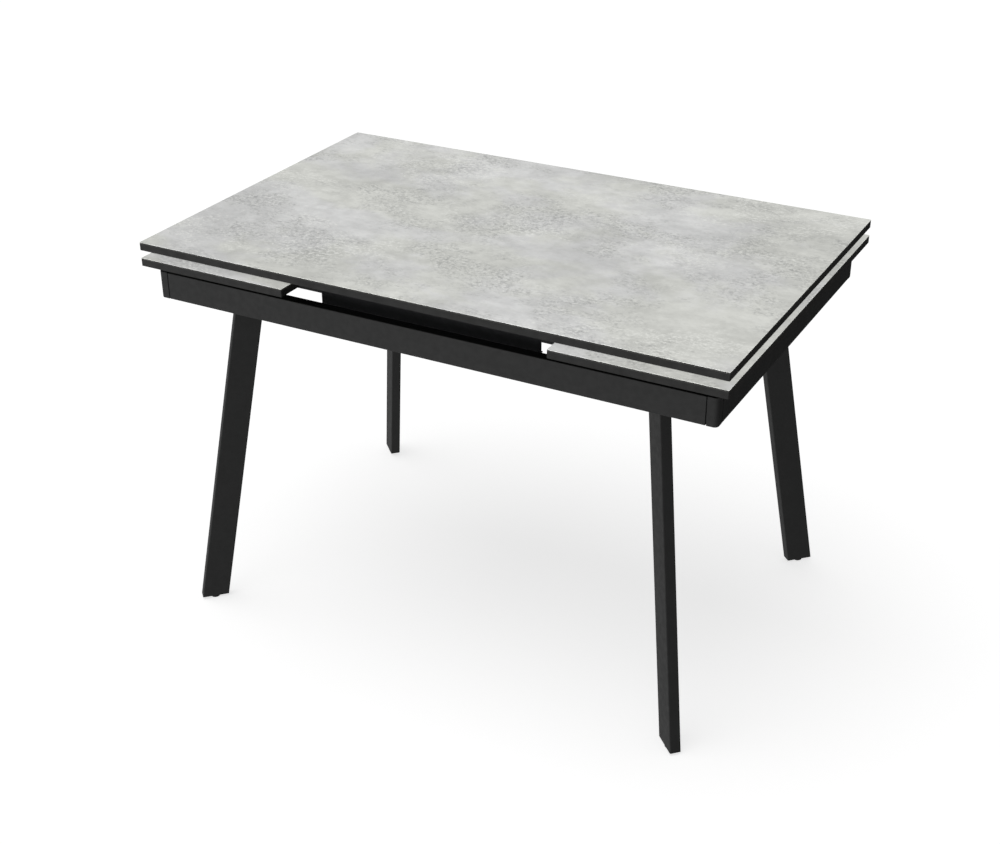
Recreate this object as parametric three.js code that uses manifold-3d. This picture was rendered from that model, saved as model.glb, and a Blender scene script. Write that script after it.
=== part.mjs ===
// Extendable dining table: a ceramic-faced main top on a black steel frame with
// splayed tube legs, and two draw-out leaves stored under the ends of the top.
// Each leaf rides on a pair of slide bars and lifts on parallel arms.
// Millimetres, +Z up, X along the table. The origin is on the floor under the middle.

import * as THREE from 'three';
import { mergeVertices } from 'three/addons/utils/BufferGeometryUtils.js';
import Module from 'manifold-3d';

// ---------------------------------------------------------------- driving dimensions
const TOP = { length: 1100, width: 700, height: 735, cornerRadius: 3 };
const SLAB = { ceramic: 3, core: 12 };             // the two layers of the top and the leaves
const LEAF = { length: 300, gap: 14.5 };           // gap: free height between leaf and main top
const OVERHANG = { end: 20.7, side: 17.7 };        // top beyond the apron frame
const APRON = { width: 20, height: 50, wall: 2, drop: 12 };          // drop: below the leaf
const CORNER = { radius: 8, spigot: 28 };          // spigot: length pushed into each apron tube
const RAIL = { inset: 62.3, width: 24, height: 28, wall: 2.5, drop: 1 };
const BAR = { width: 17, wall: 2, endSetback: 4.3, fromMiddle: 15 };
const SLIDE_CLEARANCE = 1.5;                       // between a slide bar and its rail, all round
const PAD = { thickness: 4, clearance: 0.5 };      // nylon pads that the bars slide on
const ARM = { reach: 60, width: 14, thickness: 4, clearance: 0.5 };
const ARM_PIVOT = { fromOuterEnd: 60, fromInnerEnd: 90 };            // on the leaf
const PIN = { radius: 4, length: 7.5, clearance: 0.3 };
const BRACKET = { thickness: 3, flange: 31, abovePad: 1, endMargin: 15 };
const NOTCH = { outer: 2, inner: 4 };               // notch beyond the bar and beyond the bracket
const CROSSBAR = { width: 20, lower: 4, wall: 2, fromMiddle: 35 };   // lower: than the slide bars
const BRIDGE = { beamWidth: 40, beamWall: 2, fromFasciaEnd: 60 };
const FASCIA = { fromLeaf: 40, setback: 42.3, thickness: 2, lip: 6, below: 26.5 };
const LEG = { wide: 50, thin: 20, wall: 2, radius: 2, angle: 45, clearance: 5 };
const LEG_INSET = { x: 111.8, y: 66.3 };           // leg's upper end from the frame's inner faces
const LEG_SPLAY = { x: 84.5, y: 83.5 };            // lower end beyond the upper end
const PLATE = { thickness: 4, margin: 26, chamfer: 26, raise: 0.5 };
const PLUG = { height: 30 };
const GLIDE = { radius: 9, pad: 4.5, stemRadius: 4, stem: 24, edge: 1 };
const TUBE_RADIUS = 1.5;                           // outer corner of the small tubes
const FIT = 0.3;                                   // gap between pieces that touch
const CUT_PAST = 2;                                // a cutter runs this far past a face

// ---------------------------------------------------------------- levels and planes
const slabThickness = SLAB.ceramic + SLAB.core;
const topUnderside = TOP.height - slabThickness;
const leafUpper = topUnderside - LEAF.gap;
const leafUnderside = leafUpper - slabThickness;
const apronTop = leafUnderside - APRON.drop;
const apronBottom = apronTop - APRON.height;
const frameX = TOP.length / 2 - OVERHANG.end;
const frameY = TOP.width / 2 - OVERHANG.side;
const innerX = frameX - APRON.width;
const innerY = frameY - APRON.width;

const railY = innerY - RAIL.inset;                 // outer face of the guide rail
const railTop = leafUnderside - RAIL.drop;
const railBottom = railTop - RAIL.height;
const railMiddle = (railTop + railBottom) / 2;
const barHeight = RAIL.height - 2 * (RAIL.wall + SLIDE_CLEARANCE);
const barOuterY = railY - RAIL.wall - SLIDE_CLEARANCE;
const barInnerY = barOuterY - BAR.width;
const barEndX = innerX - BAR.endSetback;
const barLength = barEndX - BAR.fromMiddle;
const armOuterY = railY - RAIL.width - ARM.clearance;
const armInnerY = armOuterY - ARM.thickness;
const bracketY = armInnerY - ARM.clearance;                  // outer face of the upright flange
const padTop = railMiddle - barHeight / 2 - PAD.clearance;
const notchBottom = padTop - PAD.thickness - FIT;
const notchOuterY = barOuterY + NOTCH.outer;
const notchInnerY = bracketY - BRACKET.flange - NOTCH.inner;
const bracketBottom = padTop + BRACKET.abovePad;

const fasciaHalf = TOP.length / 2 - LEAF.length - FASCIA.fromLeaf;
const legHeadX = innerX - LEG_INSET.x;
const legHeadY = innerY - LEG_INSET.y;

// ---------------------------------------------------------------- materials
const ceramic = new THREE.MeshStandardMaterial({ color: 0xc6c6c2, roughness: 0.55, metalness: 0 });
const blackCore = new THREE.MeshStandardMaterial({ color: 0x262625, roughness: 0.6, metalness: 0 });
const blackSteel = new THREE.MeshStandardMaterial({ color: 0x232424, roughness: 0.5, metalness: 0.2 });
const zincSteel = new THREE.MeshStandardMaterial({ color: 0x9a9c9e, roughness: 0.4, metalness: 0.9 });
const blackPlastic = new THREE.MeshStandardMaterial({ color: 0x161616, roughness: 0.7, metalness: 0 });

// ---------------------------------------------------------------- geometry tools
const wasm = await Module();
wasm.setup();

function solid(geometry) {
  const plain = geometry.clone();
  plain.deleteAttribute('normal');
  plain.deleteAttribute('uv');
  const merged = mergeVertices(plain, 1e-4);
  return new wasm.Manifold(new wasm.Mesh({
    numProp: 3,
    vertProperties: new Float32Array(merged.attributes.position.array),
    triVerts: new Uint32Array(merged.index.array),
  }));
}

function geometryOf(manifold) {
  const mesh = manifold.getMesh();
  const geometry = new THREE.BufferGeometry();
  geometry.setAttribute('position', new THREE.BufferAttribute(mesh.vertProperties, 3));
  geometry.setIndex(new THREE.BufferAttribute(mesh.triVerts, 1));
  return geometry;
}

const join = (first, ...rest) =>
  geometryOf(rest.reduce((sum, piece) => sum.add(solid(piece)), solid(first)));
const cut = (first, ...rest) =>
  geometryOf(rest.reduce((left, piece) => left.subtract(solid(piece)), solid(first)));

// The outline's x and y lie along Y and Z for a prism along X, X and Z for one
// along Y, and X and Y for one along Z. The prism is centred on its own length.
const X = new THREE.Vector3(1, 0, 0);
const Y = new THREE.Vector3(0, 1, 0);
const Z = new THREE.Vector3(0, 0, 1);
const LAY = {
  x: new THREE.Matrix4().makeBasis(Y, Z, X),
  y: new THREE.Matrix4().makeBasis(X, Z, Y.clone().negate()),
  z: new THREE.Matrix4(),
};
function prism(shape, length, along, curveSegments = 4) {
  const geometry = new THREE.ExtrudeGeometry(shape, { depth: length, bevelEnabled: false, curveSegments });
  geometry.translate(0, 0, -length / 2);
  return geometry.applyMatrix4(LAY[along]);
}

function roundedRect(width, height, radius, PathType = THREE.Shape) {
  const path = new PathType();
  const x = width / 2 - radius;
  const y = height / 2 - radius;
  path.moveTo(x, -height / 2);
  path.absarc(x, -y, radius, -Math.PI / 2, 0);
  path.absarc(x, y, radius, 0, Math.PI / 2);
  path.absarc(-x, y, radius, Math.PI / 2, Math.PI);
  path.absarc(-x, -y, radius, Math.PI, 1.5 * Math.PI);
  path.closePath();
  return path;
}

function tubeSection(width, height, wall, radius) {
  const section = roundedRect(width, height, radius);
  section.holes.push(roundedRect(width - 2 * wall, height - 2 * wall, radius / 3, THREE.Path));
  return section;
}

const polygon = (points) => new THREE.Shape(points.map(([x, y]) => new THREE.Vector2(x, y)));

// A plain block given by its extents, used for cutting and for pads.
function block([x0, x1], [y0, y1], [z0, z1]) {
  const geometry = new THREE.BoxGeometry(Math.abs(x1 - x0), Math.abs(y1 - y0), Math.abs(z1 - z0));
  return geometry.translate((x0 + x1) / 2, (y0 + y1) / 2, (z0 + z1) / 2);
}

// A round pin or cutter along Y, between two Y positions.
function rod(x, z, y0, y1, radius) {
  const geometry = new THREE.CylinderGeometry(radius, radius, Math.abs(y1 - y0), 20);
  return geometry.translate(x, (y0 + y1) / 2, z);
}

// ---------------------------------------------------------------- the table
const table = new THREE.Group();

function add(name, geometry, material, x = 0, y = 0, z = 0) {
  const mesh = new THREE.Mesh(geometry, material);
  mesh.name = name;
  mesh.position.set(x, y, z);
  table.add(mesh);
}

const ENDS = [['left', -1], ['right', 1]];
const SIDES = [['front', -1], ['rear', 1]];

// A slab is a ceramic sheet bonded on a black board with the same outline.
function addSlab(name, length, centreX, underside) {
  const outline = roundedRect(length, TOP.width, TOP.cornerRadius);
  const coreZ = underside + SLAB.core / 2;
  const ceramicZ = underside + SLAB.core + SLAB.ceramic / 2;
  add(`${name}_core`, prism(outline, SLAB.core, 'z'), blackCore, centreX, 0, coreZ);
  add(`${name}_ceramic`, prism(outline, SLAB.ceramic, 'z'), ceramic, centreX, 0, ceramicZ);
}

function addMainTop() {
  addSlab('main_top', TOP.length, 0, topUnderside);
}

// Apron: four rectangular tubes. The two end tubes are notched for the slides.
function addAprons() {
  const middleZ = (apronTop + apronBottom) / 2;
  const section = tubeSection(APRON.width, APRON.height, APRON.wall, TUBE_RADIUS);
  for (const [side, sy] of SIDES) {
    const tube = prism(section, 2 * (innerX - FIT), 'x');
    add(`apron_${side}`, tube, blackSteel, 0, sy * (innerY + APRON.width / 2), middleZ);
  }
  const endTube = prism(section, 2 * (innerY - FIT), 'y');
  const notches = SIDES.map(([, sy]) => block(
    [-APRON.width, APRON.width],
    [sy * notchInnerY, sy * notchOuterY],
    [notchBottom - middleZ, APRON.height],
  ));
  const notched = cut(endTube, ...notches);
  for (const [end, sx] of ENDS) {
    add(`apron_${end}`, notched, blackSteel, sx * (innerX + APRON.width / 2), 0, middleZ);
  }
}

// Corner pieces: a square as thick as the apron, rounded outside, with two spigots.
function addCorners() {
  const inside = APRON.wall + FIT;
  const straight = APRON.width - CORNER.radius;
  const plan = new THREE.Shape();
  plan.moveTo(0, 0);
  plan.lineTo(APRON.width, 0);
  plan.lineTo(APRON.width, straight);
  plan.absarc(straight, straight, CORNER.radius, 0, Math.PI / 2);
  plan.lineTo(0, APRON.width);
  plan.lineTo(0, 0);
  const round = prism(plan, APRON.height, 'z', 10);
  const spigotZ = [-APRON.height / 2 + inside, APRON.height / 2 - inside];
  const across = [inside, APRON.width - inside];
  const along = [-CORNER.spigot, 1];
  const piece = join(round, block(along, across, spigotZ), block(across, along, spigotZ));
  for (const [side, sy] of SIDES) {
    for (const [end, sx] of ENDS) {
      const turned = piece.clone();
      turned.rotateZ(sx > 0 ? (sy > 0 ? 0 : -Math.PI / 2) : (sy > 0 ? Math.PI / 2 : Math.PI));
      add(`corner_${side}_${end}`, turned, blackSteel,
        sx * innerX, sy * innerY, (apronTop + apronBottom) / 2);
    }
  }
}

// Guide rails: channels between the end aprons, open towards the middle.
function addGuideRails() {
  for (const [side, sy] of SIDES) {
    const outer = sy * railY;
    const inner = sy * (railY - RAIL.width);
    const web = sy * (railY - RAIL.wall);
    const section = polygon([
      [outer, railBottom], [inner, railBottom], [inner, railBottom + RAIL.wall],
      [web, railBottom + RAIL.wall], [web, railTop - RAIL.wall],
      [inner, railTop - RAIL.wall], [inner, railTop], [outer, railTop],
    ]);
    add(`guide_rail_${side}`, prism(section, 2 * (innerX - FIT), 'x'), blackSteel);
  }
}

// Nylon pads in the end apron's notches, which the slide bars run over.
function addSlidePads() {
  for (const [side, sy] of SIDES) {
    for (const [end, sx] of ENDS) {
      const pad = block(
        [sx * (innerX + FIT), sx * (frameX - FIT)],
        [sy * (notchInnerY + FIT), sy * (notchOuterY - FIT)],
        [padTop - PAD.thickness, padTop],
      );
      add(`slide_pad_${side}_${end}`, pad, blackPlastic);
    }
  }
}

// Bridge: two beams across the guide rails carry the main top, and a bent
// sheet fascia closes the front and the back between the leaves.
function addBridge() {
  const beamBottom = railTop + FIT;
  const beamHeight = topUnderside - beamBottom;
  const fasciaY = TOP.width / 2 - OVERHANG.side - FASCIA.setback;
  const beamLength = 2 * (fasciaY - FASCIA.thickness - FIT);
  const beamSection = tubeSection(BRIDGE.beamWidth, beamHeight, BRIDGE.beamWall, TUBE_RADIUS);
  const beam = prism(beamSection, beamLength, 'y');
  for (const [end, sx] of ENDS) {
    add(`bridge_beam_${end}`, beam, blackSteel,
      sx * (fasciaHalf - BRIDGE.fromFasciaEnd), 0, beamBottom + beamHeight / 2);
  }
  const half = fasciaHalf;
  const sheet = FASCIA.thickness;
  const fasciaBottom = leafUnderside - FASCIA.below;
  const fasciaHeight = topUnderside - FIT - fasciaBottom;
  for (const [side, sy] of SIDES) {
    const plan = polygon([
      [-half, 0], [half, 0], [half, -sy * FASCIA.lip], [half - sheet, -sy * FASCIA.lip],
      [half - sheet, -sy * sheet], [sheet - half, -sy * sheet],
      [sheet - half, -sy * FASCIA.lip], [-half, -sy * FASCIA.lip],
    ]);
    add(`fascia_${side}`, prism(plan, fasciaHeight, 'z'), blackSteel,
      0, sy * fasciaY, fasciaBottom + fasciaHeight / 2);
  }
}

// Legs: rectangular tubes that lean outwards at every corner, with the wide
// face along the diagonal. Both ends are cut level with the floor.
function addLegs() {
  const legBottom = LEG.clearance;
  const plateBottom = apronBottom + PLATE.raise;
  const legTop = plateBottom - FIT;
  const height = legTop - legBottom;
  const leanX = LEG_SPLAY.x / height;
  const leanY = LEG_SPLAY.y / height;
  const levelCut = Math.hypot(1, Math.hypot(leanX, leanY));    // a level cut is wider
  const legSection = tubeSection(LEG.wide * levelCut, LEG.thin, LEG.wall, LEG.radius);
  const plugWide = (LEG.wide - 2 * (LEG.wall + FIT)) * levelCut;
  const plugThin = LEG.thin - 2 * (LEG.wall + FIT);
  const plugSection = roundedRect(plugWide, plugThin, LEG.radius - LEG.wall / 2);
  const glideProfile = [
    [0, 0], [GLIDE.radius - GLIDE.edge, 0], [GLIDE.radius, GLIDE.edge],
    [GLIDE.radius, GLIDE.pad - GLIDE.edge], [GLIDE.radius - GLIDE.edge, GLIDE.pad],
    [GLIDE.stemRadius, GLIDE.pad], [GLIDE.stemRadius, GLIDE.pad + GLIDE.stem - GLIDE.edge],
    [GLIDE.stemRadius - GLIDE.edge, GLIDE.pad + GLIDE.stem], [0, GLIDE.pad + GLIDE.stem],
  ].map(([r, z]) => new THREE.Vector2(r, z));
  for (const [side, sy] of SIDES) {
    for (const [end, sx] of ENDS) {
      const corner = `${side}_${end}`;
      const turn = Math.atan2(sy, sx) + THREE.MathUtils.degToRad(LEG.angle - 45) * sx * sy;
      const lean = new THREE.Matrix4().makeShear(0, 0, 0, 0, -sx * leanX, -sy * leanY);
      const upright = (section, tall) => {
        const geometry = prism(section, tall, 'z', 3);
        return geometry.translate(0, 0, tall / 2).rotateZ(turn).applyMatrix4(lean);
      };
      const footX = sx * (legHeadX + LEG_SPLAY.x);
      const footY = sy * (legHeadY + LEG_SPLAY.y);
      add(`leg_${corner}`, upright(legSection, height), blackSteel, footX, footY, legBottom);
      const bore = new THREE.CylinderGeometry(
        GLIDE.stemRadius + PIN.clearance, GLIDE.stemRadius + PIN.clearance, 4 * PLUG.height, 24);
      const plug = cut(upright(plugSection, PLUG.height), bore.rotateX(Math.PI / 2));
      add(`foot_plug_${corner}`, plug, blackPlastic, footX, footY, legBottom);
      const glide = new THREE.LatheGeometry(glideProfile, 24).rotateX(Math.PI / 2);
      add(`glide_${corner}`, glide, blackPlastic, footX, footY, 0);
      addLegPlate(corner, sx, sy, plateBottom);
    }
  }
}

// Leg plate: fills the frame's corner and carries the leg's upper end.
function addLegPlate(corner, sx, sy, bottom) {
  const reach = (LEG.wide / 2) * Math.SQRT1_2 + LEG.thin / 2;
  const farX = sx * (innerX - FIT);
  const farY = sy * (innerY - FIT);
  const nearX = sx * (legHeadX - reach - PLATE.margin);
  const nearY = sy * (legHeadY - reach - PLATE.margin);
  const plan = polygon([
    [farX, farY], [nearX, farY], [nearX, nearY + sy * PLATE.chamfer],
    [nearX + sx * PLATE.chamfer, nearY], [farX, nearY],
  ]);
  add(`leg_plate_${corner}`, prism(plan, PLATE.thickness, 'z'), blackSteel,
    0, 0, bottom + PLATE.thickness / 2);
}

// One leaf with its carriage, lift arms and brackets. sx is -1 for the left leaf.
function addLeaf(end, sx) {
  const outerEnd = TOP.length / 2;
  const innerEnd = outerEnd - LEAF.length;
  addSlab(`${end}_leaf`, LEAF.length, sx * (outerEnd + innerEnd) / 2, leafUnderside);

  const leafPivots = { outer: outerEnd - ARM_PIVOT.fromOuterEnd, inner: innerEnd + ARM_PIVOT.fromInnerEnd };
  const pivotZ = railMiddle;
  const barMiddleX = barEndX - barLength / 2;
  for (const [side, sy] of SIDES) {
    const bar = prism(tubeSection(BAR.width, barHeight, BAR.wall, TUBE_RADIUS), barLength, 'x')
      .translate(sx * barMiddleX, sy * (barOuterY + barInnerY) / 2, pivotZ);
    const barHoles = Object.values(leafPivots).map((pivot) => rod(
      sx * (pivot - ARM.reach), pivotZ, sy * (barInnerY - CUT_PAST), sy * (barInnerY + BAR.width / 2),
      PIN.radius + PIN.clearance));
    add(`${end}_slide_bar_${side}`, cut(bar, ...barHoles), zincSteel);

    for (const [place, pivot] of Object.entries(leafPivots)) {
      add(`${end}_lift_arm_${place}_${side}`, liftArm(sx, sy, pivot, pivotZ), zincSteel);
    }
    add(`${end}_leaf_bracket_${side}`, leafBracket(sx, sy, leafPivots, pivotZ), blackSteel);
  }
  const crossbarLength = 2 * (barInnerY - FIT);
  const crossbarHeight = barHeight - CROSSBAR.lower;
  const crossSection = tubeSection(CROSSBAR.width, crossbarHeight, CROSSBAR.wall, TUBE_RADIUS);
  add(`${end}_crossbar`, prism(crossSection, crossbarLength, 'y'), zincSteel,
    sx * CROSSBAR.fromMiddle, 0, pivotZ);
}

// Lift arm: a flat link with a pin into the slide bar and a pin into the bracket.
function liftArm(sx, sy, leafPivot, z) {
  const barPivot = leafPivot - ARM.reach;
  const link = prism(roundedRect(ARM.reach + ARM.width, ARM.width, ARM.width / 2 - 0.01),
    ARM.thickness, 'y', 8)
    .translate(sx * (leafPivot + barPivot) / 2, sy * (armOuterY + armInnerY) / 2, z);
  const barPin = rod(sx * barPivot, z, sy * armInnerY, sy * (armOuterY + PIN.length), PIN.radius);
  const leafPin = rod(sx * leafPivot, z, sy * armOuterY, sy * (armInnerY - PIN.length), PIN.radius);
  return join(link, barPin, leafPin);
}

// Leaf bracket: a steel angle screwed under the leaf, bored for the arm pins.
function leafBracket(sx, sy, pivots, pivotZ) {
  const y0 = sy * bracketY;
  const web = sy * (bracketY - BRACKET.thickness);
  const inner = sy * (bracketY - BRACKET.flange);
  const section = polygon([
    [y0, leafUnderside], [y0, bracketBottom],
    [web, bracketBottom], [web, leafUnderside - BRACKET.thickness],
    [inner, leafUnderside - BRACKET.thickness], [inner, leafUnderside],
  ]);
  const from = pivots.inner - BRACKET.endMargin;
  const to = pivots.outer + BRACKET.endMargin;
  const angle = prism(section, to - from, 'x').translate(sx * (from + to) / 2, 0, 0);
  const holes = Object.values(pivots).map((pivot) => rod(
    sx * pivot, pivotZ, sy * (bracketY + CUT_PAST), sy * (bracketY - BRACKET.thickness - CUT_PAST),
    PIN.radius + PIN.clearance));
  return cut(angle, ...holes);
}

addMainTop();
addAprons();
addCorners();
addGuideRails();
addSlidePads();
addBridge();
addLegs();
for (const [end, sx] of ENDS) addLeaf(end, sx);

export default table;
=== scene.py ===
# Extendable dining table: a ceramic-faced main top on a black steel frame with splayed
# tube legs, and two leaves stored under its ends. Metres, +Z up, X along the table.
import math
import bmesh
import bpy
from mathutils import Euler, Matrix, Vector


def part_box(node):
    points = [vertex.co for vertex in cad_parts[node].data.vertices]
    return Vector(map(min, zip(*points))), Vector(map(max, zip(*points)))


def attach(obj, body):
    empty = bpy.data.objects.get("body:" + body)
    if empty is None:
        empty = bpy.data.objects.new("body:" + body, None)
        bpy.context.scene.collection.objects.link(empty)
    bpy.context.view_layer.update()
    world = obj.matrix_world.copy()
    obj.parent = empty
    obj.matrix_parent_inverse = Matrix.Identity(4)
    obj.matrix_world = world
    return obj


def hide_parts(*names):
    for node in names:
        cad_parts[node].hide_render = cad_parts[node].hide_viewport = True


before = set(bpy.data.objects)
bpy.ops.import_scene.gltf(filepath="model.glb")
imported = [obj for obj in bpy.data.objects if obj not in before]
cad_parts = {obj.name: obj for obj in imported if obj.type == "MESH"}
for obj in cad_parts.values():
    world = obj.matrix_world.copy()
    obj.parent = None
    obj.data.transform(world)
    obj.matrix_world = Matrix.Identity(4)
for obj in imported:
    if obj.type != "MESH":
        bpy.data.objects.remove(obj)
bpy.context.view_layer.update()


# ---------------------------------------------------------------- camera, floor and light
# A camera above the front right corner, over a white studio floor that glows a little. Each
# soft light is kept to one thing: overhead to the floor, low from the front to the ceramic,
# and broad from the rear to the metalwork. Neither floor nor lights show in the gloss.
CAMERA_PLACE = (1.2329, -2.3050, 1.7530)
CAMERA_TURN = 28.59
CAMERA_TILT = -28.23
CAMERA_ROLL = -0.35
CAMERA_LENS = 56.45
CAMERA_SENSOR = 36
FLOOR_SIZE = 80
FLOOR_COLOUR = (0.70, 0.70, 0.70, 1)
FLOOR_ROUGHNESS = 0.9
FLOOR_GLOW = 0.72
WHITE = (1, 1, 1, 1)
SKY_STRENGTH = 0.16
HORIZON_STRENGTH = 0.4
HORIZON_HEIGHT = 0.22
GLOSS_BRIGHT_SIDE = (-0.45, -0.89, 0)
GLOSS_STRENGTH = (0.17, 1.0)
GLOSS_RANGE = (-0.9, 0.9)
GLOSS_FALL = 2
BACKDROP_STRENGTH = 1.0
OVERHEAD_STRENGTH = 1.02
OVERHEAD_SPREAD = 56
OVERHEAD_LEAN = (8, -13, 0)
LOW_LIGHT_STRENGTH = 10.2
LOW_LIGHT_SPREAD = 14
LOW_LIGHT_TRAVEL = (-0.42, 0.83, -0.36)
REAR_LIGHT_STRENGTH = 5.0
REAR_LIGHT_SPREAD = 60
REAR_LIGHT_TRAVEL = (0.35, -0.86, -0.37)

camera = bpy.data.objects.new("camera", bpy.data.cameras.new("camera"))
bpy.context.scene.collection.objects.link(camera)
camera.data.sensor_width = CAMERA_SENSOR
camera.data.lens = CAMERA_LENS
turned = Matrix.Rotation(math.radians(CAMERA_TURN), 4, "Z")
tilted = Matrix.Rotation(math.radians(90 + CAMERA_TILT), 4, "X")
rolled = Matrix.Rotation(math.radians(CAMERA_ROLL), 4, "Z")
camera.matrix_world = Matrix.Translation(CAMERA_PLACE) @ turned @ tilted @ rolled
bpy.context.scene.camera = camera
bpy.context.scene.view_settings.view_transform = "Standard"

bpy.ops.object.select_all(action="DESELECT")
bpy.ops.mesh.primitive_plane_add(size=FLOOR_SIZE)
floor = bpy.context.object
floor.name = "floor"
floor.visible_glossy = False
floor_paint = bpy.data.materials.new("floor_paint")
floor_paint.use_nodes = True
floor_shader = floor_paint.node_tree.nodes["Principled BSDF"]
floor_shader.inputs["Base Color"].default_value = FLOOR_COLOUR
floor_shader.inputs["Roughness"].default_value = FLOOR_ROUGHNESS
floor_shader.inputs["Specular IOR Level"].default_value = 0
floor_shader.inputs["Emission Color"].default_value = WHITE
floor_shader.inputs["Emission Strength"].default_value = FLOOR_GLOW
floor.data.materials.append(floor_paint)

air = bpy.data.worlds.new("air")
air.use_nodes = True
air_nodes = air.node_tree.nodes
air_links = air.node_tree.links
heading = air_nodes.new("ShaderNodeTexCoord").outputs["Generated"]
height = air_nodes.new("ShaderNodeSeparateXYZ")
air_links.new(heading, height.inputs[0])
above = air_nodes.new("ShaderNodeMapRange")
above.inputs["From Max"].default_value = HORIZON_HEIGHT
above.inputs["To Min"].default_value = HORIZON_STRENGTH
above.inputs["To Max"].default_value = SKY_STRENGTH
air_links.new(height.outputs["Z"], above.inputs["Value"])
sideways = air_nodes.new("ShaderNodeVectorMath")
sideways.operation = "DOT_PRODUCT"
sideways.inputs[1].default_value = GLOSS_BRIGHT_SIDE
air_links.new(heading, sideways.inputs[0])
below = air_nodes.new("ShaderNodeMapRange")
below.inputs["From Min"].default_value = GLOSS_RANGE[0]
below.inputs["From Max"].default_value = GLOSS_RANGE[1]
below.inputs["To Min"].default_value = GLOSS_STRENGTH[0]
below.inputs["To Max"].default_value = GLOSS_STRENGTH[1]
air_links.new(sideways.outputs["Value"], below.inputs["Value"])
faded = air_nodes.new("ShaderNodeMath")
faded.operation = "POWER"
faded.inputs[1].default_value = GLOSS_FALL
air_links.new(below.outputs["Result"], faded.inputs[0])
is_above = air_nodes.new("ShaderNodeMath")
is_above.operation = "GREATER_THAN"
is_above.inputs[1].default_value = 0
air_links.new(height.outputs["Z"], is_above.inputs[0])
strength = air_nodes.new("ShaderNodeMix")
air_links.new(is_above.outputs[0], strength.inputs["Factor"])
air_links.new(faded.outputs[0], strength.inputs["A"])
air_links.new(above.outputs["Result"], strength.inputs["B"])
seen = air_nodes.new("ShaderNodeMix")
seen.inputs["B"].default_value = BACKDROP_STRENGTH
from_camera = air_nodes.new("ShaderNodeLightPath").outputs["Is Camera Ray"]
air_links.new(from_camera, seen.inputs["Factor"])
air_links.new(strength.outputs["Result"], seen.inputs["A"])
air_links.new(seen.outputs["Result"], air_nodes["Background"].inputs["Strength"])
air_nodes["Background"].inputs["Color"].default_value = WHITE
bpy.context.scene.world = air


def soft_light(name, strength, wide, turn, lit):
    """A sun lamp of a given width in degrees that lights only one collection."""
    lamp = bpy.data.objects.new(name, bpy.data.lights.new(name, "SUN"))
    lamp.data.energy = strength
    lamp.data.angle = math.radians(wide)
    lamp.rotation_euler = turn
    lamp.light_linking.receiver_collection = lit
    lamp.visible_glossy = False
    bpy.context.scene.collection.objects.link(lamp)


floor_alone = bpy.data.collections.new("floor_alone")
floor_alone.objects.link(floor)
ceramic_alone = bpy.data.collections.new("ceramic_alone")
soft_light("overhead", OVERHEAD_STRENGTH, OVERHEAD_SPREAD,
           Euler([math.radians(a) for a in OVERHEAD_LEAN]), floor_alone)
soft_light("low_light", LOW_LIGHT_STRENGTH, LOW_LIGHT_SPREAD,
           Vector(LOW_LIGHT_TRAVEL).to_track_quat("-Z", "Y").to_euler(), ceramic_alone)
metal_alone = bpy.data.collections.new("metal_alone")
soft_light("rear_light", REAR_LIGHT_STRENGTH, REAR_LIGHT_SPREAD,
           Vector(REAR_LIGHT_TRAVEL).to_track_quat("-Z", "Y").to_euler(), metal_alone)


# ---------------------------------------------------------------- main top board
# A 12 mm board of black compact laminate, lacquered on its edges. It is sawn, rounded a
# little at its corners, broken along its lower arris, and screwed down on the two beams.
BOARD_CORNER = 0.0015
BOARD_ARRIS = 0.0008
BOARD_COLOUR = (0.0086, 0.0086, 0.0081, 1)
BOARD_MOTTLE = (0.80, 1.18)
BOARD_SPECULAR = 0.42
BOARD_ROUGHNESS = (0.44, 0.58)
BOARD_CLOUDS = (38, 6, 0.6)  # a noise's scale per metre, detail, roughness and distortion
BOARD_GLOSS_CLOUDS = (60, 4)
BOARD_FIBRE = (900, 3, 0.6)
BOARD_RELIEF = (0.25, 0.0003)  # a relief's strength, and its depth in metres
NOISE_MIDDLE = (0.3, 0.7)  # where most values of a noise fall
EVEN_ROUGHNESS = 0.5  # what a roughness starts from before a pattern drives it
NEAR = 1e-4  # an edge or face that is this near to a side lies on it
VERY_NEAR = 1e-5
FACING = 0.9  # the least cosine for a face that looks along an axis
STRAIGHT = 0.99  # the least cosine for an edge that runs along an axis
SHARP_ABOVE = 35  # a bend of more degrees stays a sharp edge


def block(name, low, high):
    """A cube of a given size and place, with the place kept in its mesh."""
    low, high = Vector(low), Vector(high)
    bpy.ops.object.select_all(action="DESELECT")
    bpy.ops.mesh.primitive_cube_add(size=1, location=(low + high) / 2, scale=high - low)
    bpy.context.object.name = name
    bpy.ops.object.transform_apply()
    return bpy.context.object


def middle(part):
    """The middle of an edge or a face."""
    return sum((v.co for v in part.verts), Vector()) / len(part.verts)


def runs(edge, axis):
    """Whether an edge runs along the axis 0, 1 or 2."""
    way = (edge.verts[1].co - edge.verts[0].co).normalized()
    return abs(way[axis]) > STRAIGHT


def pick(piece, kind, wanted):
    """Opens a piece in edit mode with only the wanted edges or faces selected."""
    bpy.ops.object.select_all(action="DESELECT")
    bpy.context.view_layer.objects.active = piece
    piece.select_set(True)
    bpy.ops.object.mode_set(mode="EDIT")
    bpy.ops.mesh.select_mode(type=kind)
    bpy.ops.mesh.select_all(action="DESELECT")
    mesh = bmesh.from_edit_mesh(piece.data)
    mesh.normal_update()
    for part in (mesh.faces if kind == "FACE" else mesh.edges):
        part.select_set(wanted(part))
    bmesh.update_edit_mesh(piece.data)


def done():
    """Closes edit mode."""
    bpy.ops.object.mode_set(mode="OBJECT")


def bevel(piece, wanted, width, steps):
    """Rounds the wanted edges of a piece."""
    pick(piece, "EDGE", wanted)
    bpy.ops.mesh.bevel(offset=width, segments=steps, affect="EDGES")
    done()


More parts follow.
